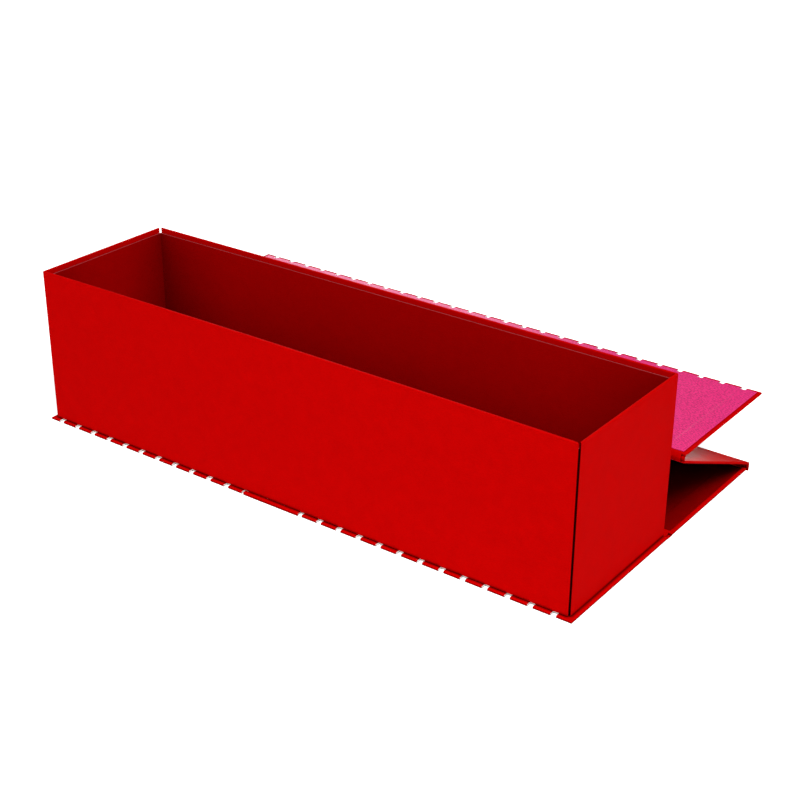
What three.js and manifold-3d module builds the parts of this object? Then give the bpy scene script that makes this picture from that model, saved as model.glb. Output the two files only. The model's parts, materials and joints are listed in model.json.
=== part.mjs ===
// Rigid presentation box: a long open tray of wrapped white board, glued to the base panel of a four-panel
// cover (base, spine, lid, front flap). The panels are joined by paper hinges. At rest the spine lies flat
// behind the tray, the lid leans back over the spine, and the flap is folded out along the lid.
// Millimetres. X runs along the box, Y from front to back, Z up. The origin is on the floor, under the
// middle of the tray's footprint.
import * as THREE from 'three';
import { mergeVertices } from 'three/addons/utils/BufferGeometryUtils.js';
import Module from 'manifold-3d';

const wasm = await Module();
wasm.setup();

// Tray, outside sizes
const TRAY_LENGTH = 345;
const TRAY_DEPTH = 92.5;
const TRAY_HEIGHT = 90;

// Sheet materials
const BOARD = 1;
const PAPER = 0.15;
const GLUE = 0.05;
const LAYER = PAPER + GLUE;
const TURN_IN = 12;
const LINING_INSET = 2;
const LINING_BELOW_RIM = 3;

// Heights inside one panel, measured from its outer face
const TURN_IN_LOW = LAYER + BOARD + GLUE;
const PANEL = TURN_IN_LOW + PAPER;
const LINED_PANEL = PANEL + LAYER;

// Cover
const SIDE_OVERHANG = 2.4;
const FRONT_OVERHANG = 2.1;
const CLOSING_GAP = 0.4;
const COVER_LENGTH = TRAY_LENGTH + 2 * SIDE_OVERHANG;
const SPINE_HALF_GAP = 2.2;
const LID_HINGE = 5;
const FLAP_HINGE = 2;
const CREASE_GAP = 0.3;
const BOARD_TO_CREASE = 0.6;
const LINER_TOP = 2 * LAYER;
const LINER_TO_CREASE = LINER_TOP + GLUE;
const FLAP_LENGTH = 89.8;

// How the cover lies at rest: the lid's lean in degrees, and how far lid and flap sit to the right
const LID_LEAN = 23.6;
const LID_SHIFT = 1;

// Row of punched slots along the two free edges, and the plain strip over the middle of the base's row
const SLOT_COUNT = 27;
const SLOT_PITCH = 12.75;
const SLOT_ROW_CENTRE = -0.8;
const SLOT_WIDTH = 3.1;
const SLOT_DEPTH = 3.3;
const STRIP_CENTRE = -7.6;
const STRIP_WIDTH = 37.6;

// Corner seams of the tray
const SEAM = 0.8;
const CORNER_CLEARANCE = 0.03;

// Magnets in the flap and their steel plates in the front wall
const MAGNET_RADIUS = 5;
const MAGNET_THICKNESS = 0.6;
const PLATE_RADIUS = 6;
const PLATE_THICKNESS = 0.3;
const MAGNET_SPREAD = TRAY_LENGTH / 2;
const MAGNET_FROM_EDGE = 15;
const POCKET_CLEARANCE = 0.1;
const DISC_SEGMENTS = 28;

// How far a cutting solid runs past what it cuts, and how close two corners are to be one
const OVERCUT = 1;
const WELD = 1e-5;

// Places worked out from the above
const TRAY_LOW = LINED_PANEL + 2 * GLUE;
const TRAY_TOP = TRAY_LOW + TRAY_HEIGHT;
const TRAY_FRONT = -TRAY_DEPTH / 2;
const TRAY_BACK = TRAY_DEPTH / 2;
const BASE_FRONT = TRAY_FRONT - FRONT_OVERHANG;
const SPINE_CREASE = TRAY_BACK + CLOSING_GAP + LINED_PANEL;
const BASE_DEPTH = SPINE_CREASE - SPINE_HALF_GAP - BASE_FRONT;
const CLOSED_LID_TOP = TRAY_TOP + CLOSING_GAP + LINED_PANEL;
const BEVEL = Math.SQRT1_2;
const SPINE_LENGTH = CLOSED_LID_TOP - LID_HINGE * BEVEL;
const CLOSED_LID_BACK = SPINE_CREASE - LID_HINGE * BEVEL;
const CLOSED_LID_FRONT = TRAY_FRONT - CLOSING_GAP - LINED_PANEL + FLAP_HINGE * BEVEL;
const LID_LENGTH = CLOSED_LID_BACK - CLOSED_LID_FRONT;
const CLOSED_FLAP_LOW = CLOSED_LID_TOP - FLAP_HINGE * BEVEL - FLAP_LENGTH;
const MAGNET_HEIGHT = CLOSED_FLAP_LOW + MAGNET_FROM_EDGE;

const RED = '#c30505';
const DEEP_RED = '#a80606';
const PINK = '#dd3f7c';
const WHITE_BOARD = '#e6e2da';
const STEEL = '#b6b9bd';

// ---- solids ----

function toSolid(geometry) {
  geometry.deleteAttribute('normal');
  geometry.deleteAttribute('uv');
  const merged = mergeVertices(geometry, WELD);
  return new wasm.Manifold(new wasm.Mesh({
    numProp: 3,
    vertProperties: new Float32Array(merged.attributes.position.array),
    triVerts: new Uint32Array(merged.index.array),
  }));
}

function toGeometry(solid) {
  const mesh = solid.getMesh();
  const geometry = new THREE.BufferGeometry();
  geometry.setAttribute('position', new THREE.BufferAttribute(new Float32Array(mesh.vertProperties), 3));
  geometry.setIndex(new THREE.BufferAttribute(new Uint32Array(mesh.triVerts), 1));
  return geometry;
}

function block(low, high) {
  const size = high.map((value, axis) => value - low[axis]);
  const geometry = new THREE.BoxGeometry(...size);
  geometry.translate(...low.map((value, axis) => value + size[axis] / 2));
  return toSolid(geometry);
}

function prism(points, low, high) {
  const shape = new THREE.Shape(points.map(([x, y]) => new THREE.Vector2(x, y)));
  const geometry = new THREE.ExtrudeGeometry(shape, { depth: high - low, bevelEnabled: false });
  geometry.translate(0, 0, low);
  return toSolid(geometry);
}

// A disc lying in a panel, its axis along Z
function flatDisc(radius, x, y, low, high) {
  const geometry = new THREE.CylinderGeometry(radius, radius, high - low, DISC_SEGMENTS);
  geometry.rotateX(Math.PI / 2);
  geometry.translate(x, y, (low + high) / 2);
  return toSolid(geometry);
}

// A disc standing in the front wall, its axis along Y
function wallDisc(radius, x, z, front, back) {
  const geometry = new THREE.CylinderGeometry(radius, radius, back - front, DISC_SEGMENTS);
  geometry.translate(x, (front + back) / 2, z);
  return toSolid(geometry);
}

function addPiece(group, name, solid, color, roughness = 0.6, metalness = 0) {
  const material = new THREE.MeshStandardMaterial({ color, roughness, metalness });
  const mesh = new THREE.Mesh(toGeometry(solid), material);
  mesh.name = name;
  group.add(mesh);
}

// ---- cover panels: X along the cover, Y away from the near edge, Z from outer face to lining ----

function slotCentre(index) {
  return SLOT_ROW_CENTRE + (index - (SLOT_COUNT - 1) / 2) * SLOT_PITCH;
}

// Takes the row of slots out of the edge at `edge`; `inward` is +1 or -1, the way into the panel
function punchSlots(solid, edge, inward) {
  const ends = [edge - inward * OVERCUT, edge + inward * SLOT_DEPTH];
  let punched = solid;
  for (let index = 0; index < SLOT_COUNT; index += 1) {
    const x = slotCentre(index);
    const low = [x - SLOT_WIDTH / 2, Math.min(...ends), -OVERCUT];
    const high = [x + SLOT_WIDTH / 2, Math.max(...ends), LINED_PANEL + OVERCUT];
    punched = punched.subtract(block(low, high));
  }
  return punched;
}

// A sheet between two heights, drawn in from the panel's outline by `inset` on every side
function sheet(near, far, inset, low, high) {
  const halfLength = COVER_LENGTH / 2 - inset;
  return block([-halfLength, near + inset, low], [halfLength, far - inset, high]);
}

function panelBoard(near, far) {
  return sheet(near, far, LAYER, LAYER, LAYER + BOARD);
}

// Outer paper, folded round all four edges and turned in over the lining side
function panelWrap(near, far) {
  return sheet(near, far, 0, 0, PANEL)
    .subtract(sheet(near, far, PAPER, PAPER, TURN_IN_LOW))
    .subtract(sheet(near, far, TURN_IN, TURN_IN_LOW - GLUE, PANEL + OVERCUT));
}

// Lining, glued over the turned-in border and down onto the board between the borders
function panelLining(near, far, inset = LINING_INSET) {
  return sheet(near, far, inset, PANEL + GLUE, LINED_PANEL)
    .add(sheet(near, far, TURN_IN + CREASE_GAP, TURN_IN_LOW, PANEL + LAYER / 2));
}

function hingePaper(near, far) {
  return block([-COVER_LENGTH / 2, near, 0], [COVER_LENGTH / 2, far, PAPER]);
}

function hingeLiner(near, far) {
  const halfLength = COVER_LENGTH / 2 - LINING_INSET;
  return block([-halfLength, near, PAPER + 2 * GLUE], [halfLength, far, LINER_TOP]);
}

// ---- tray walls: a ring drawn in from the tray's outline by an offset ----

// Two neighbouring walls, front and left, between two offsets; `seam` shortens both free ends
function elbow(outer, inner, seam) {
  const x = TRAY_LENGTH / 2;
  const y = TRAY_DEPTH / 2;
  return [
    [x - outer - seam, -y + outer],
    [x - inner - seam, -y + inner],
    [-x + inner, -y + inner],
    [-x + inner, y - inner - seam],
    [-x + outer, y - outer - seam],
    [-x + outer, -y + outer],
  ];
}

function wrapElbow() {
  const endFold = SEAM + 2 * LAYER;
  const whole = prism(elbow(0, PANEL, SEAM), TRAY_LOW, TRAY_TOP);
  const core = prism(elbow(PAPER, TURN_IN_LOW, endFold), TRAY_LOW - OVERCUT, TRAY_TOP - PAPER);
  const belowTurnIn = elbow(TURN_IN_LOW - GLUE, PANEL + OVERCUT, -OVERCUT);
  const inside = prism(belowTurnIn, TRAY_LOW - OVERCUT, TRAY_TOP - TURN_IN);
  return whole.subtract(core).subtract(inside);
}

function liningElbow() {
  const upper = prism(elbow(PANEL + GLUE, LINED_PANEL, SEAM), TRAY_LOW, TRAY_TOP - LINING_BELOW_RIM);
  const lowerTop = TRAY_TOP - TURN_IN - CREASE_GAP;
  const lower = prism(elbow(TURN_IN_LOW, PANEL + LAYER / 2, SEAM), TRAY_LOW, lowerTop);
  return upper.add(lower);
}

// One wall board along X with mitred ends, its outer face on the front of a tray of this size
function wallBoard(length, depth, seamAtStart, seamAtEnd) {
  const start = seamAtStart ? SEAM + 3 * LAYER : CORNER_CLEARANCE;
  const end = seamAtEnd ? SEAM + 3 * LAYER : CORNER_CLEARANCE;
  const outer = LAYER;
  const inner = LAYER + BOARD;
  return prism([
    [-length / 2 + outer + start, -depth / 2 + outer],
    [length / 2 - outer - end, -depth / 2 + outer],
    [length / 2 - inner - end, -depth / 2 + inner],
    [-length / 2 + inner + start, -depth / 2 + inner],
  ], TRAY_LOW, TRAY_TOP - LAYER);
}

// ---- tray ----

function makeTray() {
  const tray = new THREE.Group();

  // Magnet plates sit in pockets in the outer face of the front board
  const pocketBack = TRAY_FRONT + LAYER + PLATE_THICKNESS + POCKET_CLEARANCE;
  let frontBoard = wallBoard(TRAY_LENGTH, TRAY_DEPTH, false, true);
  for (const [side, x] of [['left', -MAGNET_SPREAD / 2], ['right', MAGNET_SPREAD / 2]]) {
    const pocketRadius = PLATE_RADIUS + POCKET_CLEARANCE;
    frontBoard = frontBoard.subtract(wallDisc(pocketRadius, x, MAGNET_HEIGHT, TRAY_FRONT, pocketBack));
    const plateFront = TRAY_FRONT + LAYER + POCKET_CLEARANCE / 2;
    const plate = wallDisc(PLATE_RADIUS, x, MAGNET_HEIGHT, plateFront, plateFront + PLATE_THICKNESS);
    addPiece(tray, `steel_plate_${side}`, plate, STEEL, 0.35, 1);
  }
  addPiece(tray, 'front_wall_board', frontBoard, WHITE_BOARD, 0.9);

  const backHalf = new THREE.Group();
  backHalf.rotation.z = Math.PI;
  tray.add(backHalf);
  addPiece(backHalf, 'back_wall_board', wallBoard(TRAY_LENGTH, TRAY_DEPTH, false, true), WHITE_BOARD, 0.9);
  addPiece(tray, 'tray_wrap_front_left', wrapElbow(), RED);
  addPiece(backHalf, 'tray_wrap_back_right', wrapElbow(), RED);
  addPiece(tray, 'tray_lining_front_left', liningElbow(), DEEP_RED);
  addPiece(backHalf, 'tray_lining_back_right', liningElbow(), DEEP_RED);

  const leftEnd = new THREE.Group();
  leftEnd.rotation.z = -Math.PI / 2;
  tray.add(leftEnd);
  addPiece(leftEnd, 'left_end_board', wallBoard(TRAY_DEPTH, TRAY_LENGTH, true, false), WHITE_BOARD, 0.9);
  const rightEnd = new THREE.Group();
  rightEnd.rotation.z = Math.PI / 2;
  tray.add(rightEnd);
  addPiece(rightEnd, 'right_end_board', wallBoard(TRAY_DEPTH, TRAY_LENGTH, true, false), WHITE_BOARD, 0.9);

  const floorX = TRAY_LENGTH / 2 - LINED_PANEL - CREASE_GAP;
  const floorY = TRAY_DEPTH / 2 - LINED_PANEL - CREASE_GAP;
  const liningLow = TRAY_LOW + BOARD + GLUE;
  const floorBoard = block([-floorX, -floorY, TRAY_LOW], [floorX, floorY, TRAY_LOW + BOARD]);
  const floorLining = block([-floorX, -floorY, liningLow], [floorX, floorY, liningLow + PAPER]);
  addPiece(tray, 'tray_floor_board', floorBoard, WHITE_BOARD, 0.9);
  addPiece(tray, 'tray_floor_lining', floorLining, DEEP_RED);
  return tray;
}

// ---- cover ----

function makeBase() {
  const base = new THREE.Group();
  base.position.y = BASE_FRONT;
  addPiece(base, 'base_board', punchSlots(panelBoard(0, BASE_DEPTH), 0, 1), WHITE_BOARD, 0.9);
  addPiece(base, 'base_wrap', punchSlots(panelWrap(0, BASE_DEPTH), 0, 1), RED);
  // The lining stays under the tray and clear of the slots
  const liningInset = SIDE_OVERHANG + PAPER;
  const liningNear = SLOT_DEPTH + CREASE_GAP - liningInset;
  addPiece(base, 'base_lining', panelLining(liningNear, BASE_DEPTH, liningInset), DEEP_RED);
  const hinge = hingePaper(BASE_DEPTH + GLUE, BASE_DEPTH + SPINE_HALF_GAP - CREASE_GAP / 2);
  addPiece(base, 'base_hinge_paper', hinge, RED);
  const liner = hingeLiner(BASE_DEPTH + GLUE, BASE_DEPTH + SPINE_HALF_GAP - LINER_TO_CREASE);
  addPiece(base, 'base_hinge_liner', liner, RED);

  // A plain strip of paper folded over the slotted edge, near the middle
  const stripLeft = STRIP_CENTRE - STRIP_WIDTH / 2;
  const stripRight = STRIP_CENTRE + STRIP_WIDTH / 2;
  const ledge = block([stripLeft, -LAYER, PANEL + GLUE], [stripRight, FRONT_OVERHANG - GLUE, LINED_PANEL]);
  const face = block([stripLeft, -LAYER, GLUE], [stripRight, -GLUE, LINED_PANEL]);
  addPiece(base, 'base_edge_strip', ledge.add(face), RED);
  return base;
}

function makeSpine() {
  const spine = new THREE.Group();
  spine.position.y = SPINE_CREASE;
  const near = SPINE_HALF_GAP;
  const far = SPINE_LENGTH - BOARD_TO_CREASE;
  addPiece(spine, 'spine_board', panelBoard(near, far), WHITE_BOARD, 0.9);
  addPiece(spine, 'spine_wrap', panelWrap(near, far), RED);
  addPiece(spine, 'spine_lining', panelLining(near, far), DEEP_RED);
  addPiece(spine, 'spine_hinge_paper', hingePaper(CREASE_GAP / 2, near - GLUE), RED);
  addPiece(spine, 'spine_hinge_liner', hingeLiner(LINER_TO_CREASE, near - GLUE), RED);
  return spine;
}

// The lid hinge stands on the spine's far crease; the lid leans from its top; the flap hangs on the lid
function makeLidAndFlap() {
  const lidHinge = new THREE.Group();
  lidHinge.position.set(LID_SHIFT, SPINE_CREASE + SPINE_LENGTH, 0);
  lidHinge.rotation.x = Math.PI / 2;
  addPiece(lidHinge, 'lid_hinge_paper', hingePaper(CREASE_GAP, LID_HINGE - CREASE_GAP), RED);
  addPiece(lidHinge, 'lid_hinge_liner', hingeLiner(CREASE_GAP, LID_HINGE - CREASE_GAP), RED);

  const lid = new THREE.Group();
  lid.position.y = LID_HINGE;
  lid.rotation.x = THREE.MathUtils.degToRad(90 - LID_LEAN);
  lidHinge.add(lid);
  const lidFar = LID_LENGTH - BOARD_TO_CREASE;
  addPiece(lid, 'lid_board', panelBoard(BOARD_TO_CREASE, lidFar), WHITE_BOARD, 0.9);
  addPiece(lid, 'lid_wrap', panelWrap(BOARD_TO_CREASE, lidFar), RED);
  addPiece(lid, 'lid_lining', panelLining(BOARD_TO_CREASE, lidFar), PINK);

  const flapHinge = new THREE.Group();
  flapHinge.position.y = LID_LENGTH;
  flapHinge.rotation.x = THREE.MathUtils.degToRad(LID_LEAN - 90);
  lid.add(flapHinge);
  addPiece(flapHinge, 'flap_hinge_paper', hingePaper(CREASE_GAP, FLAP_HINGE - CREASE_GAP), RED);
  addPiece(flapHinge, 'flap_hinge_liner', hingeLiner(CREASE_GAP, FLAP_HINGE - CREASE_GAP), RED);

  const flap = new THREE.Group();
  flap.position.y = FLAP_HINGE;
  flap.rotation.x = -Math.PI / 2;
  flapHinge.add(flap);
  const wrap = panelWrap(BOARD_TO_CREASE, FLAP_LENGTH);
  const lining = panelLining(BOARD_TO_CREASE, FLAP_LENGTH);
  addPiece(flap, 'flap_wrap', punchSlots(wrap, FLAP_LENGTH, -1), RED);
  addPiece(flap, 'flap_lining', punchSlots(lining, FLAP_LENGTH, -1), PINK);

  // Magnets sit in pockets in the lining side of the flap board
  const pocketLow = LAYER + BOARD - MAGNET_THICKNESS - POCKET_CLEARANCE;
  const magnetY = FLAP_LENGTH - MAGNET_FROM_EDGE;
  let board = punchSlots(panelBoard(BOARD_TO_CREASE, FLAP_LENGTH), FLAP_LENGTH, -1);
  for (const [side, x] of [['left', -MAGNET_SPREAD / 2], ['right', MAGNET_SPREAD / 2]]) {
    board = board.subtract(flatDisc(MAGNET_RADIUS + POCKET_CLEARANCE, x, magnetY, pocketLow, PANEL));
    const magnetLow = pocketLow + POCKET_CLEARANCE / 2;
    const magnet = flatDisc(MAGNET_RADIUS, x, magnetY, magnetLow, magnetLow + MAGNET_THICKNESS);
    addPiece(flap, `magnet_${side}`, magnet, STEEL, 0.3, 1);
  }
  addPiece(flap, 'flap_board', board, WHITE_BOARD, 0.9);
  return lidHinge;
}

const box = new THREE.Group();
box.add(makeTray(), makeBase(), makeSpine(), makeLidAndFlap());

export default box;
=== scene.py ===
"""Looks of the folding presentation box: wrapped boards, paper linings and paper folds.

Lengths are in metres in the CAD frame: X along the box, Y from front to back, Z up.
"""
import json
import math

import bmesh
import bpy
from mathutils import Matrix, Vector


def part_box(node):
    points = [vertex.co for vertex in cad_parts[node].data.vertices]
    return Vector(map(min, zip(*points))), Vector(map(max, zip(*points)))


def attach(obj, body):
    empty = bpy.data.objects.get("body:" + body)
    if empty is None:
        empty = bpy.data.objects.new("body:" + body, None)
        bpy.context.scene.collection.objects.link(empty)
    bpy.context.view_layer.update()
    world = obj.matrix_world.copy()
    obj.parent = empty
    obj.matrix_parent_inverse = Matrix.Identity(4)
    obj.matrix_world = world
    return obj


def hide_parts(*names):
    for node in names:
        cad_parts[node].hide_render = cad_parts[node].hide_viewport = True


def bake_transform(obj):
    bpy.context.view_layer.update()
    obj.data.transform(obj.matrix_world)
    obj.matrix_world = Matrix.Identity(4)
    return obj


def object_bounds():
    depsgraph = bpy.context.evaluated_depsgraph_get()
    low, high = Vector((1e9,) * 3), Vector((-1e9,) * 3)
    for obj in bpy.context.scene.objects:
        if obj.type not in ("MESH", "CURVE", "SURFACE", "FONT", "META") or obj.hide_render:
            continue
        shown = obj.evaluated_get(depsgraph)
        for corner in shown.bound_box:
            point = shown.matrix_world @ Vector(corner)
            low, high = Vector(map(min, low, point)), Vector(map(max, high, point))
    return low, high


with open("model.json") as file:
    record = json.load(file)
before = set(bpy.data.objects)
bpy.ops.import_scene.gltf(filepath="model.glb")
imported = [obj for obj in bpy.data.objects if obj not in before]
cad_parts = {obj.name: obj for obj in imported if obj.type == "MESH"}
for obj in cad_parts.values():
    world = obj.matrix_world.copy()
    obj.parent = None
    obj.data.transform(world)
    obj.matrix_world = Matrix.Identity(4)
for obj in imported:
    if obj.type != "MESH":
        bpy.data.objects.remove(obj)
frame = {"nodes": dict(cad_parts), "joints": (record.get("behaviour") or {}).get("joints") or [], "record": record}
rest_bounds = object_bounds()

MM = 0.001

# Sheet materials
PAPER = 0.15 * MM
TURN_IN = 12 * MM
EDGE_RADIUS = 0.4 * MM
LINING_RADIUS = 0.06 * MM
LINING_STEP = 0.12 * MM
STEP_WIDTH = 0.9 * MM
ROUND_STEPS = 4

# Slots along the two free edges
SLOT_COUNT = 27
SLOT_PITCH = 12.75 * MM
SLOT_ROW_CENTRE = -0.8 * MM
SLOT_WIDTH = 3.1 * MM
SLOT_DEPTH = 3.3 * MM

# Tray
OUTER_CORNER = 0.7 * MM
SEAM_CORNER = 0.35 * MM
FRONT_BOW = 1.5 * MM
BOW_COLUMNS = 24
BOW_ROWS = 6
FRONT_WALL_DEPTH = 3 * MM
POCKET_CLEARANCE = 0.1 * MM

# Folds
BOARD_TO_CREASE = 0.6 * MM
FOLD_LEAD = 0.4 * MM
FOLD_SINK = 0.02 * MM
FOLD_BULGE = 0.55 * MM
FOLD_STEPS = 8
FOLD_REACH = 0.9 * MM
GROOVE_HEIGHT = 0.35 * MM
GROOVE_SLOPE = 1.1 * MM

OVERCUT = 1 * MM


# ---- places from the frame ----

def crease(joint):
    """Where a joint's crease stands, on the box's middle plane."""
    return Vector(next(j["pos_m"] for j in frame["joints"] if j["name"] == joint))


def panel_place(start, toward):
    """A panel's own axes: X along the box, Y from start to toward, Z from its outer face to its lining."""
    along = Vector((1, 0, 0))
    away = (toward - start).normalized()
    axes = Matrix((along, away, along.cross(away))).transposed()
    return Matrix.Translation(start) @ axes.to_4x4()


def extent(node, place=Matrix.Identity(4)):
    """Lowest and highest corner of a CAD node along a panel's own axes."""
    inverse = place.inverted()
    points = [inverse @ vertex.co for vertex in frame["nodes"][node].data.vertices]
    low = Vector([min(point[axis] for point in points) for axis in range(3)])
    high = Vector([max(point[axis] for point in points) for axis in range(3)])
    return low, high


SPINE_NEAR = crease("spine_fold")
SPINE_FAR = crease("lid_hinge_crease")
LID_NEAR = crease("lid_fold")
LID_FAR = crease("flap_hinge_crease")
FLAP_NEAR = crease("flap_fold")
BASE_NEAR = Vector((0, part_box("base_wrap")[0].y, 0))
FLAP_FAR = Vector((0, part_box("flap_wrap")[1].y, FLAP_NEAR.z))
PLACES = {
    "base": panel_place(BASE_NEAR, SPINE_NEAR),
    "spine": panel_place(SPINE_NEAR, SPINE_FAR),
    "lid": panel_place(LID_NEAR, LID_FAR),
    "flap": panel_place(FLAP_NEAR, FLAP_FAR),
}
TRAY_LOW, TRAY_HIGH = extent("tray_wrap_front_left")
SEAM = -TRAY_LOW.x - TRAY_HIGH.x
HALF_TURN = Matrix.Rotation(math.pi, 4, "Z")
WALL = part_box("base_wrap")[1].z
BODIES = {"base": "tray_and_base", "spine": "spine", "lid": "lid", "flap": "flap"}
TRAY = "tray_and_base"


# ---- solids ----

def new_object(name, mesh):
    """A scene object from a finished bmesh."""
    bmesh.ops.recalc_face_normals(mesh, faces=mesh.faces)
    data = bpy.data.meshes.new(name)
    mesh.to_mesh(data)
    mesh.free()
    made = bpy.data.objects.new(name, data)
    bpy.context.scene.collection.objects.link(made)
    return made


def stack(name, outline, levels, place=Matrix.Identity(4)):
    """A closed solid through one outline at several heights. A level is how far it is drawn in, and its height."""
    mesh = bmesh.new()
    rings = []
    for inset, height in levels:
        corners = outline(inset)
        rings.append([mesh.verts.new(place @ Vector((x, y, height))) for x, y in corners])
    for lower, upper in zip(rings, rings[1:]):
        for index in range(len(lower)):
            after = (index + 1) % len(lower)
            mesh.faces.new((lower[index], lower[after], upper[after], upper[index]))
    mesh.faces.new(list(reversed(rings[0])))
    mesh.faces.new(rings[-1])
    return new_object(name, mesh)


def rectangle(low, high):
    """The outline of a rectangle, as a function of how far it is drawn in."""
    def outline(inset):
        left, right = low.x + inset, high.x - inset
        near, far = low.y + inset, high.y - inset
        return [(left, near), (right, near), (right, far), (left, far)]
    return outline


def rounded_top(high, radius):
    """The levels of an edge rounded over to a top face."""
    turns = [math.pi / 2 * step / ROUND_STEPS for step in range(ROUND_STEPS + 1)]
    return [(radius - radius * math.cos(turn), high - radius + radius * math.sin(turn)) for turn in turns]


def rounded_bottom(low, radius):
    """The levels of a bottom face rounded up to its edge."""
    return [(inset, low - height) for inset, height in reversed(rounded_top(0, radius))]


def soften(points, reaches):
    """Rounds each corner of an outline. Each reach is how far from the corner its curve starts."""
    softened = []
    for index, (corner, reach) in enumerate(zip(points, reaches)):
        if reach == 0:
            softened.append(corner)
            continue
        before = (points[index - 1] - corner).normalized() * reach
        after = (points[(index + 1) % len(points)] - corner).normalized() * reach
        for step in range(FOLD_STEPS + 1):
            share = step / FOLD_STEPS
            softened.append(corner + before * (1 - share) ** 2 + after * share ** 2)
    return softened


def cut(target, *cutters):
    """Takes the cutters out of the target and applies the result."""
    for cutter in cutters:
        modifier = target.modifiers.new("cut", "BOOLEAN")
        modifier.operation = "DIFFERENCE"
        modifier.solver = "EXACT"
        modifier.object = cutter
    graph = bpy.context.evaluated_depsgraph_get()
    whole = target.data
    target.data = bpy.data.meshes.new_from_object(target.evaluated_get(graph))
    target.modifiers.clear()
    bpy.data.meshes.remove(whole)
    for cutter in cutters:
        bpy.data.objects.remove(cutter)


def place_piece(piece, body, material, slot, *nodes):
    """Puts a finished piece on its body, in place of the CAD nodes it stands for."""
    piece.data.materials.clear()
    piece.data.materials.append(material)
    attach(piece, body)
    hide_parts(*nodes)


# ---- materials ----

# How far the painted shade looks for covering surfaces: in the red paper's creases, and in the lining paper's deep
# hollows.
CREASE_SHADE_REACH = 1.6 * MM
DEPTH_SHADE_REACH = 60 * MM

def noise(tree, place, scale, detail):
    """A noise texture at a size given in waves per metre."""
    texture = tree.nodes.new("ShaderNodeTexNoise")
    texture.inputs["Scale"].default_value = scale
    texture.inputs["Detail"].default_value = detail
    tree.links.new(place, texture.inputs["Vector"])
    return texture.outputs["Fac"]


def remap(tree, value, low, high):
    """Spreads the useful middle of a noise over low to high."""
    node = tree.nodes.new("ShaderNodeMapRange")
    node.inputs["From Min"].default_value = 0.3
    node.inputs["From Max"].default_value = 0.7
    node.inputs["To Min"].default_value = low
    node.inputs["To Max"].default_value = high
    tree.links.new(value, node.inputs["Value"])
    return node.outputs["Result"]


def combine(tree, operation, first, second):
    node = tree.nodes.new("ShaderNodeMath")
    node.operation = operation
    for socket, value in zip(node.inputs, (first, second)):
        if isinstance(value, (int, float)):
            socket.default_value = value
        else:
            tree.links.new(value, socket)
    return node.outputs["Value"]


def paper_material(name, color, grain, roughness, specular, relief, painted_shade_and_edges=()):
    """Coated paper: fine grain along the box, soft mottling, a slightly uneven sheen and slight waviness.

    The further steps change the colour in order, each a function: painted shade in creases and hollows, and pale
    cut edges.
    """
    material = bpy.data.materials.new(name)
    material.use_nodes = True
    tree = material.node_tree
    shader = tree.nodes["Principled BSDF"]
    place = tree.nodes.new("ShaderNodeTexCoord").outputs["Object"]
    stretch = tree.nodes.new("ShaderNodeMapping")
    stretch.inputs["Scale"].default_value = (0.35, 1, 1)
    tree.links.new(place, stretch.inputs["Vector"])
    fibres = noise(tree, stretch.outputs["Vector"], 2300, 3)
    mottle = noise(tree, place, 160, 4)
    waves = noise(tree, place, 14, 2)

    shade = combine(tree, "MULTIPLY", remap(tree, fibres, 1 - grain, 1 + grain), remap(tree, mottle, 0.97, 1.03))
    tint = tree.nodes.new("ShaderNodeVectorMath")
    tint.operation = "SCALE"
    tint.inputs[0].default_value = color
    tree.links.new(shade, tint.inputs["Scale"])
    surface = tint.outputs["Vector"]
    # Painted shade and pale cut edges, where the paper has them.
    for colour_step in painted_shade_and_edges:
        surface = colour_step(tree, place, surface)
    tree.links.new(surface, shader.inputs["Base Color"])
    rough = combine(tree, "ADD", remap(tree, mottle, -0.04, 0.04), roughness)
    tree.links.new(rough, shader.inputs["Roughness"])
    shader.inputs["Specular IOR Level"].default_value = specular
    shader.inputs["Specular Tint"].default_value = (*color, 1)

    heights = combine(tree, "ADD", fibres, combine(tree, "MULTIPLY", waves, 12))
    bump = tree.nodes.new("ShaderNodeBump")
    bump.inputs["Strength"].default_value = relief
    bump.inputs["Distance"].default_value = 0.1 * MM
    tree.links.new(heights, bump.inputs["Height"])
    tree.links.new(bump.outputs["Normal"], shader.inputs["Normal"])
    return material


def paint_shade_in_corners(reach, power):
    """Paints shade into a paper's colour in creases and corners, by how much of its surroundings within reach is
    covered.
    """
    def colour_step(tree, _place, surface):
        occlusion = tree.nodes.new("ShaderNodeAmbientOcclusion")
        occlusion.samples = 8
        occlusion.inputs["Distance"].default_value = reach
        shade = tree.nodes.new("ShaderNodeVectorMath")
        shade.operation = "SCALE"
        tree.links.new(surface, shade.inputs[0])
        # The painted shade: the colour times the occlusion, raised to a power.
        tree.links.new(combine(tree, "POWER", occlusion.outputs["AO"], power), shade.inputs["Scale"])
        return shade.outputs["Vector"]
    return colour_step


def pale_edge(top, depth, color):
    """The pale cut edge of a sheet: a thin band just under a given height."""
    def colour_step(tree, place, surface):
        split = tree.nodes.new("ShaderNodeSeparateXYZ")
        tree.links.new(place, split.inputs["Vector"])
        above = combine(tree, "GREATER_THAN", split.outputs["Z"], top - depth)
        mix = tree.nodes.new("ShaderNodeMix")
        mix.data_type = "RGBA"
        tree.links.new(above, mix.inputs["Factor"])
        tree.links.new(surface, mix.inputs[6])
        mix.inputs[7].default_value = (*color, 1)
        return mix.outputs[2]
    return colour_step


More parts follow.
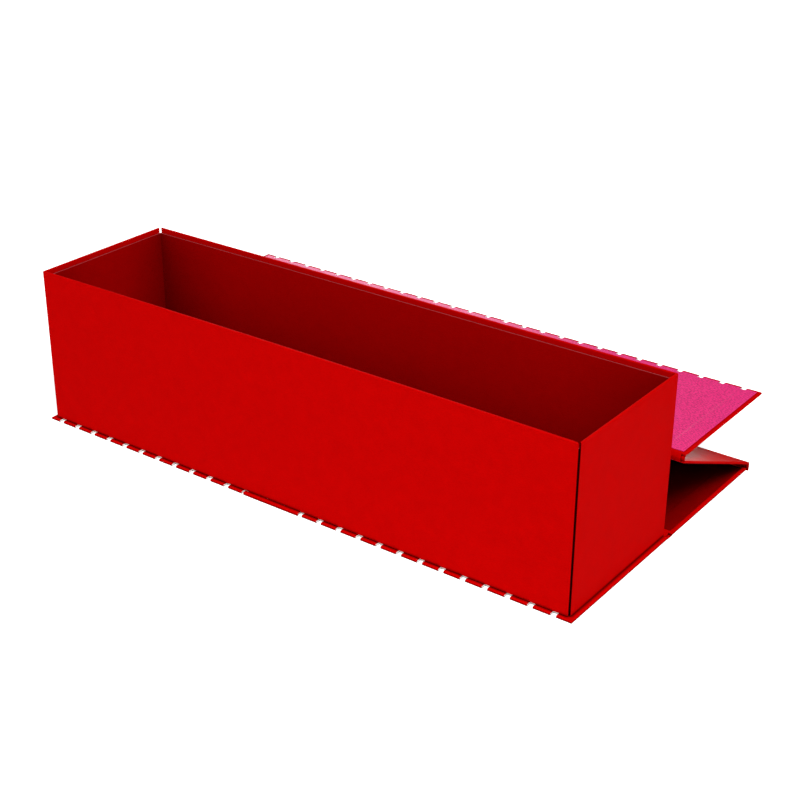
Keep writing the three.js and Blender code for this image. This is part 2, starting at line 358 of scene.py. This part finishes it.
def board_material():
    """White board: pressed pale fibre with faint darker flecks."""
    material = bpy.data.materials.new("white_board")
    material.use_nodes = True
    tree = material.node_tree
    shader = tree.nodes["Principled BSDF"]
    place = tree.nodes.new("ShaderNodeTexCoord").outputs["Object"]
    fibres = noise(tree, place, 1800, 5)
    layers = noise(tree, place, 300, 4)
    ramp = tree.nodes.new("ShaderNodeValToRGB")
    ramp.color_ramp.elements[0].position = 0.32
    ramp.color_ramp.elements[0].color = (0.82, 0.8, 0.76, 1)
    ramp.color_ramp.elements[1].position = 0.68
    ramp.color_ramp.elements[1].color = (0.93, 0.92, 0.89, 1)
    mixed = combine(tree, "MULTIPLY", combine(tree, "ADD", fibres, layers), 0.5)
    tree.links.new(mixed, ramp.inputs["Fac"])
    tree.links.new(ramp.outputs["Color"], shader.inputs["Base Color"])
    tree.links.new(remap(tree, fibres, 0.82, 0.95), shader.inputs["Roughness"])
    bump = tree.nodes.new("ShaderNodeBump")
    bump.inputs["Strength"].default_value = 0.5
    bump.inputs["Distance"].default_value = 0.05 * MM
    tree.links.new(fibres, bump.inputs["Height"])
    tree.links.new(bump.outputs["Normal"], shader.inputs["Normal"])
    return material


def metal_material(name, color, roughness):
    """Thin sheet metal with fine rolling marks."""
    material = bpy.data.materials.new(name)
    material.use_nodes = True
    tree = material.node_tree
    shader = tree.nodes["Principled BSDF"]
    shader.inputs["Base Color"].default_value = (*color, 1)
    shader.inputs["Metallic"].default_value = 1
    place = tree.nodes.new("ShaderNodeTexCoord").outputs["Object"]
    stretch = tree.nodes.new("ShaderNodeMapping")
    stretch.inputs["Scale"].default_value = (0.05, 1, 1)
    tree.links.new(place, stretch.inputs["Vector"])
    marks = noise(tree, stretch.outputs["Vector"], 4000, 3)
    tree.links.new(remap(tree, marks, roughness - 0.08, roughness + 0.08), shader.inputs["Roughness"])
    bump = tree.nodes.new("ShaderNodeBump")
    bump.inputs["Strength"].default_value = 0.2
    bump.inputs["Distance"].default_value = 0.01 * MM
    tree.links.new(marks, bump.inputs["Height"])
    tree.links.new(bump.outputs["Normal"], shader.inputs["Normal"])
    return material


def make_materials():
    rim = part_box("tray_lining_front_left")[1].z
    edge = pale_edge(rim, 0.3 * MM, (0.55, 0.06, 0.07))
    # Painted shade: the red paper is darkened in its creases, and the lining paper in deep hollows such as under
    # the lid.
    creases = paint_shade_in_corners(CREASE_SHADE_REACH, 2)
    painted_depth_shade = paint_shade_in_corners(DEPTH_SHADE_REACH, 1.15)
    return {
        "red_paper": paper_material("red_paper", (0.61, 0.0006, 0.0006), 0.05, 0.45, 0.004, 0.25, [creases]),
        "lining_paper": paper_material(
            "lining_paper", (0.46, 0.0008, 0.0008), 0.07, 0.6, 0.01, 0.3, [painted_depth_shade, edge]
        ),
        "pink_paper": paper_material("pink_paper", (0.92, 0.04, 0.24), 0.45, 0.36, 0.3, 0.6),
        "white_board": board_material(),
        "steel": metal_material("steel", (0.5, 0.52, 0.54), 0.35),
        "magnet": metal_material("magnet", (0.62, 0.62, 0.6), 0.22),
    }


MATERIALS = make_materials()


# ---- cover panels ----

def slot_cutter(low, high, edge, inward, place):
    """The row of slots in one edge, as one cutting solid. inward is +1 or -1, the way into the panel."""
    mesh = bmesh.new()
    reach = (edge - inward * OVERCUT, edge + inward * SLOT_DEPTH)
    size = Vector((SLOT_WIDTH, abs(reach[1] - reach[0]), high.z - low.z + 2 * OVERCUT))
    row_centre = (low.x + high.x) / 2 + SLOT_ROW_CENTRE
    for index in range(SLOT_COUNT):
        x = row_centre + (index - (SLOT_COUNT - 1) / 2) * SLOT_PITCH
        centre = Vector((x, sum(reach) / 2, (low.z + high.z) / 2))
        matrix = place @ Matrix.Translation(centre) @ Matrix.Diagonal((*size, 1))
        bmesh.ops.create_cube(mesh, size=1, matrix=matrix)
    return new_object("slots", mesh)


def make_panel(panel, lining_slot, inward=0):
    """One wrapped board of the cover with its lining. inward says which way slots run in, if it has any."""
    place = PLACES[panel]
    body = BODIES[panel]
    low, high = extent(f"{panel}_wrap", place)
    outline = rectangle(low, high)
    edge = low.y if inward > 0 else high.y

    levels = rounded_bottom(low.z, EDGE_RADIUS) + rounded_top(high.z, EDGE_RADIUS)
    wrap = stack(f"{panel}_cover_paper", outline, levels, place)
    cavity = stack("cavity", outline, [(PAPER, low.z + PAPER), (PAPER, high.z - PAPER)], place)
    window = stack("window", outline, [(TURN_IN, high.z - 2 * PAPER), (TURN_IN, high.z + PAPER)], place)
    cutters = [cavity, window]
    if inward:
        cutters.append(slot_cutter(low, high, edge, inward, place))
    cut(wrap, *cutters)
    place_piece(wrap, body, MATERIALS["red_paper"], "red_paper", f"{panel}_wrap")

    sheet_low, sheet_high = extent(f"{panel}_lining", place)
    step = TURN_IN - (sheet_low.x - low.x)
    levels = [(0, high.z + FOLD_SINK)] + rounded_top(sheet_high.z, LINING_RADIUS)
    levels += [(step - STEP_WIDTH, sheet_high.z), (step, sheet_high.z - LINING_STEP)]
    lining = stack(f"{panel}_lining_paper", rectangle(sheet_low, sheet_high), levels, place)
    if inward < 0:
        cut(lining, slot_cutter(low, high, edge, inward, place))
    place_piece(lining, body, MATERIALS[lining_slot], lining_slot, f"{panel}_lining")


# ---- tray ----

def elbow(outer, inner, seam):
    """Two neighbouring walls, front and left, between two offsets from the tray's outline."""
    x, y = -TRAY_LOW.x, -TRAY_LOW.y

    def outline(inset):
        out, into, gap = outer + inset, inner - inset, seam + inset
        corners = [
            Vector((x - out - gap, -y + out)),
            Vector((x - into - gap, -y + into)),
            Vector((-x + into, -y + into)),
            Vector((-x + into, y - into - gap)),
            Vector((-x + out, y - out - gap)),
            Vector((-x + out, -y + out)),
        ]
        return soften(corners, [SEAM_CORNER, 0, 0, 0, SEAM_CORNER, OUTER_CORNER])
    return outline


def plain_elbow(outer, inner, seam):
    """The same two walls with sharp corners."""
    x, y = -TRAY_LOW.x, -TRAY_LOW.y

    def outline(_inset):
        return [
            (x - outer - seam, -y + outer),
            (x - inner - seam, -y + inner),
            (-x + inner, -y + inner),
            (-x + inner, y - inner - seam),
            (-x + outer, y - outer - seam),
            (-x + outer, -y + outer),
        ]
    return outline


def bow_front(piece):
    """Lets the top of the front wall lean in a little between its corners, as a long wall does."""
    mesh = bmesh.new()
    mesh.from_mesh(piece.data)
    length = 2 * -TRAY_LOW.x
    height = TRAY_HIGH.z - TRAY_LOW.z
    planes = [
        (Vector((TRAY_LOW.x + length * step / BOW_COLUMNS, 0, 0)), Vector((1, 0, 0)))
        for step in range(1, BOW_COLUMNS)
    ]
    planes += [
        (Vector((0, 0, TRAY_LOW.z + height * step / BOW_ROWS)), Vector((0, 0, 1)))
        for step in range(1, BOW_ROWS)
    ]
    for point, normal in planes:
        everything = mesh.verts[:] + mesh.edges[:] + mesh.faces[:]
        bmesh.ops.bisect_plane(mesh, geom=everything, plane_co=point, plane_no=normal)
    for vertex in mesh.verts:
        if vertex.co.y < TRAY_LOW.y + FRONT_WALL_DEPTH:
            along = 1 - (2 * vertex.co.x / length) ** 2
            up = (vertex.co.z - TRAY_LOW.z) / height
            vertex.co.y += FRONT_BOW * max(0, along) * max(0, up) ** 2
    mesh.to_mesh(piece.data)
    mesh.free()


def make_tray_half(side, place):
    """One L-shaped wrapped half of the tray's walls with its lining."""
    low, high = TRAY_LOW.z, TRAY_HIGH.z
    levels = [(0, low)] + rounded_top(high, EDGE_RADIUS)
    wrap = stack(f"tray_wall_paper_{side}", elbow(0, WALL, SEAM), levels, place)
    core_outline = plain_elbow(PAPER, WALL - PAPER, SEAM + 2 * (PAPER + FOLD_SINK))
    core = stack("core", core_outline, [(0, low - OVERCUT), (0, high - PAPER)], place)
    inside_outline = plain_elbow(WALL - 2 * PAPER, WALL + OVERCUT, -OVERCUT)
    inside = stack("inside", inside_outline, [(0, low - OVERCUT), (0, high - TURN_IN)], place)
    cut(wrap, core, inside)

    lining_high = extent(f"tray_lining_{side}")[1].z
    inner_face = WALL + PAPER + 2 * FOLD_SINK
    outline = plain_elbow(WALL + FOLD_SINK, inner_face, 0)
    levels = [(0, low), (0, high - TURN_IN), (0, lining_high)]
    lining = stack(f"tray_lining_paper_{side}", outline, levels, place)
    return wrap, lining


def make_front_board():
    """The front wall's board, bowed with the wall, with a pocket for each steel plate."""
    low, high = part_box("front_wall_board")
    depth = high.y - low.y
    corners = [(low.x, low.y), (high.x, low.y), (high.x - depth, high.y), (low.x + depth, high.y)]
    board = stack("front_wall_core", lambda _inset: corners, [(0, low.z), (0, high.z)])
    pockets = []
    for side in ("left", "right"):
        plate_low, plate_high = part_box(f"steel_plate_{side}")
        plate_low.y -= OVERCUT
        turn = Matrix.Rotation(math.pi / 2, 4, "X")
        radius = (plate_high.x - plate_low.x) / 2 + POCKET_CLEARANCE
        middle = (plate_low + plate_high) / 2
        mesh = bmesh.new()
        matrix = Matrix.Translation(middle) @ turn
        reach = plate_high.y - plate_low.y + POCKET_CLEARANCE
        bmesh.ops.create_cone(
            mesh, cap_ends=True, segments=48, radius1=radius, radius2=radius, depth=reach, matrix=matrix
        )
        pockets.append(new_object("pocket", mesh))
    cut(board, *pockets)
    bow_front(board)
    place_piece(board, TRAY, MATERIALS["white_board"], "white_board", "front_wall_board")


def make_tray():
    for side, place in (("front_left", Matrix.Identity(4)), ("back_right", HALF_TURN)):
        wrap, lining = make_tray_half(side, place)
        if side == "front_left":
            bow_front(wrap)
            bow_front(lining)
        place_piece(wrap, TRAY, MATERIALS["red_paper"], "red_paper", f"tray_wrap_{side}")
        place_piece(lining, TRAY, MATERIALS["lining_paper"], "lining_paper", f"tray_lining_{side}")
    make_front_board()


# ---- paper folds ----

def ribbon(name, path, thickness, left, right):
    """A sheet of paper along a path of (y, z) points, from left to right along the box."""
    mesh = bmesh.new()
    sides = []
    for x in (left, right):
        upper, lower = [], []
        for index, point in enumerate(path):
            before = path[max(index - 1, 0)]
            after = path[min(index + 1, len(path) - 1)]
            run = (after - before).normalized()
            across = Vector((-run.y, run.x)) * thickness / 2
            upper.append(mesh.verts.new((x, *(point + across))))
            lower.append(mesh.verts.new((x, *(point - across))))
        sides.append((upper, lower))
    (upper_a, lower_a), (upper_b, lower_b) = sides
    for index in range(len(path) - 1):
        mesh.faces.new((upper_a[index], upper_a[index + 1], upper_b[index + 1], upper_b[index]))
        mesh.faces.new((lower_a[index], lower_b[index], lower_b[index + 1], lower_a[index + 1]))
        for upper, lower in sides:
            mesh.faces.new((upper[index], lower[index], lower[index + 1], upper[index + 1]))
    for index in (0, -1):
        mesh.faces.new((upper_a[index], upper_b[index], lower_b[index], lower_a[index]))
    return new_object(name, mesh)


def flat(point):
    return Vector((point.y, point.z))


def fold_piece(name, path, bodies, start, end, nodes):
    """One sheet shaped along a path between two bodies, as long as the CAD nodes it stands for."""
    low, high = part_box(nodes[0])
    piece = ribbon(name, path, PAPER, low.x, high.x)
    for face in piece.data.polygons:
        face.use_smooth = True
    piece.data.set_sharp_from_angle(angle=math.radians(40))
    piece.data.materials.append(MATERIALS["red_paper"])
    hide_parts(*nodes)
    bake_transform(piece)


def split_path(path, point):
    """The path before and after its nearest place to a point; both parts keep that place."""
    nearest = min(range(len(path)), key=lambda index: (path[index] - point).length)
    return path[: nearest + 1], path[nearest:]


def make_strip(strip, first, second):
    """The two sheets of a narrow hinge strip, each bending once at either side of it."""
    near, far = {"lid_hinge": (SPINE_FAR, LID_NEAR), "flap_hinge": (LID_FAR, FLAP_NEAR)}[strip]
    near, far = flat(near), flat(far)
    middle = (near + far) / 2
    rise = (far - near).normalized()
    inner_side = Vector((-rise.y, rise.x))
    away = {panel: flat(PLACES[panel].col[1]) for panel in (first, second)}
    lining_side = {panel: flat(PLACES[panel].col[2]) for panel in (first, second)}

    skin = PAPER / 2 + FOLD_SINK
    board = {first: near - away[first] * BOARD_TO_CREASE, second: far + away[second] * BOARD_TO_CREASE}
    lead = {first: -away[first] * FOLD_LEAD, second: away[second] * FOLD_LEAD}
    outer = [
        board[first] + lead[first] + lining_side[first] * skin,
        near + (lining_side[first] + inner_side) * skin / 2,
        far + (lining_side[second] + inner_side) * skin / 2,
        board[second] + lead[second] + lining_side[second] * skin,
    ]
    outer_reach = min(FOLD_REACH, (far - near).length * 0.4)
    outer = soften(outer, [0, outer_reach, outer_reach, 0])
    edge = {panel: board[panel] + lining_side[panel] * (WALL - skin) for panel in (first, second)}
    inner = [
        edge[first] + lead[first],
        edge[first] - lead[first] * 0.3,
        middle + inner_side * FOLD_BULGE,
        edge[second] - lead[second] * 0.3,
        edge[second] + lead[second],
    ]
    bulge_reach = 0.45 * (far - near).length
    inner = soften(inner, [0, FOLD_LEAD, bulge_reach, FOLD_LEAD, 0])
    for side, path, node in (("outer", outer, f"{strip}_paper"), ("inner", inner, f"{strip}_liner")):
        before, after = split_path(path, middle)
        reach = BOARD_TO_CREASE
        first_bend = (near - away[first] * reach, near + rise * reach)
        second_bend = (far - rise * reach, far + away[second] * reach)
        if side == "inner":
            first_bend = (before[FOLD_STEPS // 2], before[-1])
            second_bend = (after[0], after[-1 - FOLD_STEPS // 2])
        fold_piece(f"{strip}_{side}_near", before, (BODIES[first], strip), *first_bend, [node])
        fold_piece(f"{strip}_{side}_far", after, (strip, BODIES[second]), *second_bend, [node])


def make_spine_fold():
    """The wide crease between base and spine: outer paper below, liner pressed into the groove above."""
    base_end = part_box("base_wrap")[1].y
    spine_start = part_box("spine_wrap")[0].y
    top = WALL - PAPER / 2 - FOLD_SINK
    skin = PAPER / 2 + FOLD_SINK
    count = 4 * FOLD_STEPS
    left, right = base_end - FOLD_LEAD, spine_start + FOLD_LEAD
    outer = [Vector((left + (right - left) * step / count, skin)) for step in range(count + 1)]
    groove = [
        Vector((left, top)),
        Vector((base_end, top)),
        Vector((base_end + GROOVE_SLOPE, GROOVE_HEIGHT)),
        Vector((SPINE_NEAR.y, GROOVE_HEIGHT)),
        Vector((spine_start - GROOVE_SLOPE, GROOVE_HEIGHT)),
        Vector((spine_start, top)),
        Vector((right, top)),
    ]
    inner = soften(groove, [0, FOLD_LEAD, FOLD_REACH, FOLD_LEAD, FOLD_REACH, FOLD_LEAD, 0])
    bodies = (TRAY, "spine")
    start, end = Vector((base_end, 0)), Vector((spine_start, 0))
    fold_piece("spine_fold_outer", outer, bodies, start, end, ["base_hinge_paper", "spine_hinge_paper"])
    fold_piece("spine_fold_inner", inner, bodies, start, end, ["base_hinge_liner", "spine_hinge_liner"])


def make_edge_strip():
    """The plain paper strip folded over the slotted front edge of the base."""
    low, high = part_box("base_edge_strip")
    back, front = high.y, low.y + PAPER / 2
    top = high.z - PAPER / 2
    corners = [Vector((back, top)), Vector((front, top)), Vector((front, low.z))]
    path = soften(corners, [0, 0.45 * MM, 0])
    strip = ribbon("base_edge_paper", path, PAPER, low.x, high.x)
    place_piece(strip, TRAY, MATERIALS["red_paper"], "red_paper", "base_edge_strip")


# ---- build ----

def finish_cad_nodes():
    """Gives the CAD nodes that stay in view their materials."""
    for row in frame["record"]["subparts"]:
        node = frame["nodes"][row["node"]]
        if not node.hide_render:
            node.data.materials.clear()
            node.data.materials.append(MATERIALS[row["material_slot"]])


make_panel("base", "lining_paper", inward=1)
make_panel("spine", "lining_paper")
make_panel("lid", "pink_paper")
make_panel("flap", "pink_paper", inward=-1)
make_tray()
make_strip("lid_hinge", "spine", "lid")
make_strip("flap_hinge", "lid", "flap")
make_spine_fold()
make_edge_strip()
finish_cad_nodes()


# ---- studio ----

FLOOR_GLOW = 0.9
CARD_LENGTH = 0.35
CARD_DEPTH = 0.4
CARD_GAP = 0.06
CARD_GLOW = 10.0
BACKDROP = 1.0
ROOM_LIGHT = 0.05

def make_floor():
    """A pale floor that looks evenly lit to the camera without throwing more light on the box."""
    mesh = bmesh.new()
    bmesh.ops.create_grid(mesh, x_segments=1, y_segments=1, size=6)
    floor = new_object("studio_floor", mesh)
    floor.location.z = rest_bounds[0].z - FOLD_SINK
    material = bpy.data.materials.new("studio_floor")
    material.use_nodes = True
    tree = material.node_tree
    shader = tree.nodes["Principled BSDF"]
    shader.inputs["Base Color"].default_value = (0.92, 0.92, 0.92, 1)
    shader.inputs["Specular IOR Level"].default_value = 0.1
    shader.inputs["Emission Color"].default_value = (1, 1, 1, 1)
    rays = tree.nodes.new("ShaderNodeLightPath").outputs
    glow = combine(tree, "MULTIPLY", rays["Is Camera Ray"], FLOOR_GLOW)
    tree.links.new(glow, shader.inputs["Emission Strength"])
    place = tree.nodes.new("ShaderNodeTexCoord").outputs["Object"]
    tree.links.new(remap(tree, noise(tree, place, 40, 3), 0.75, 0.85), shader.inputs["Roughness"])
    floor.data.materials.append(material)
    floor.visible_glossy = False


def make_card():
    """A bright card lying behind the box. Only the papers' sheen sees it, on the lid's steep outer face."""
    mesh = bmesh.new()
    bmesh.ops.create_grid(mesh, x_segments=1, y_segments=1, size=0.5)
    card = new_object("studio_card", mesh)
    card.scale = (CARD_LENGTH, CARD_DEPTH, 1)
    back = rest_bounds[1]
    card.location = (back.x - CARD_GAP - CARD_LENGTH / 2, back.y + CARD_DEPTH / 2, rest_bounds[0].z)
    material = bpy.data.materials.new("studio_card")
    material.use_nodes = True
    shader = material.node_tree.nodes["Principled BSDF"]
    shader.inputs["Emission Color"].default_value = (1, 1, 1, 1)
    shader.inputs["Emission Strength"].default_value = CARD_GLOW
    card.data.materials.append(material)
    card.visible_camera = False
    card.visible_diffuse = False
    card.visible_shadow = False


def make_light(name, azimuth, elevation, distance, size, power):
    """A square soft light aimed at the middle of the box. Azimuth 0 is in front of it, 90 to its right."""
    light = bpy.data.lights.new(name, "AREA")
    light.size = size
    light.energy = power
    lamp = bpy.data.objects.new(name, light)
    bpy.context.scene.collection.objects.link(lamp)
    turn, lift = math.radians(azimuth), math.radians(elevation)
    back = Vector((math.sin(turn) * math.cos(lift), -math.cos(turn) * math.cos(lift), math.sin(lift)))
    middle = (rest_bounds[0] + rest_bounds[1]) / 2
    lamp.location = middle + back * distance
    lamp.rotation_mode = "QUATERNION"
    lamp.rotation_quaternion = back.to_track_quat("Z", "Y")


def make_camera():
    """The camera, fitted to the box's corners."""
    data = bpy.data.cameras.new("camera")
    data.sensor_width = 36
    data.lens = 69.388
    data.clip_start = 0.01
    data.clip_end = 50
    camera = bpy.data.objects.new("camera", data)
    bpy.context.scene.collection.objects.link(camera)
    azimuth, elevation, roll = math.radians(36.374), math.radians(25.894), math.radians(0.317)
    back = Vector((
        math.sin(azimuth) * math.cos(elevation),
        -math.cos(azimuth) * math.cos(elevation),
        math.sin(elevation),
    ))
    camera.location = (0.46277, -0.57320, 0.40227)
    camera.rotation_mode = "QUATERNION"
    turn = back.to_track_quat("Z", "Y")
    camera.rotation_quaternion = turn @ Matrix.Rotation(roll, 4, "Z").to_quaternion()
    bpy.context.scene.camera = camera


def make_world():
    world = bpy.data.worlds.new("studio")
    world.use_nodes = True
    tree = world.node_tree
    background = tree.nodes["Background"]
    background.inputs["Color"].default_value = (1, 1, 1, 1)
    rays = tree.nodes.new("ShaderNodeLightPath").outputs
    seen = combine(tree, "MULTIPLY", rays["Is Camera Ray"], BACKDROP)
    room = combine(tree, "MULTIPLY", rays["Is Diffuse Ray"], ROOM_LIGHT)
    tree.links.new(combine(tree, "ADD", seen, room), background.inputs["Strength"])
    scene = bpy.context.scene
    scene.world = world
    scene.view_settings.view_transform = "Standard"


make_floor()
make_card()
make_light("key", azimuth=61, elevation=54, distance=2.2, size=0.8, power=43)
make_light("fill", azimuth=-5, elevation=20, distance=1.6, size=1.0, power=6.5)
make_light("back", azimuth=219, elevation=19, distance=1.6, size=0.6, power=4.5)
make_camera()
make_world()
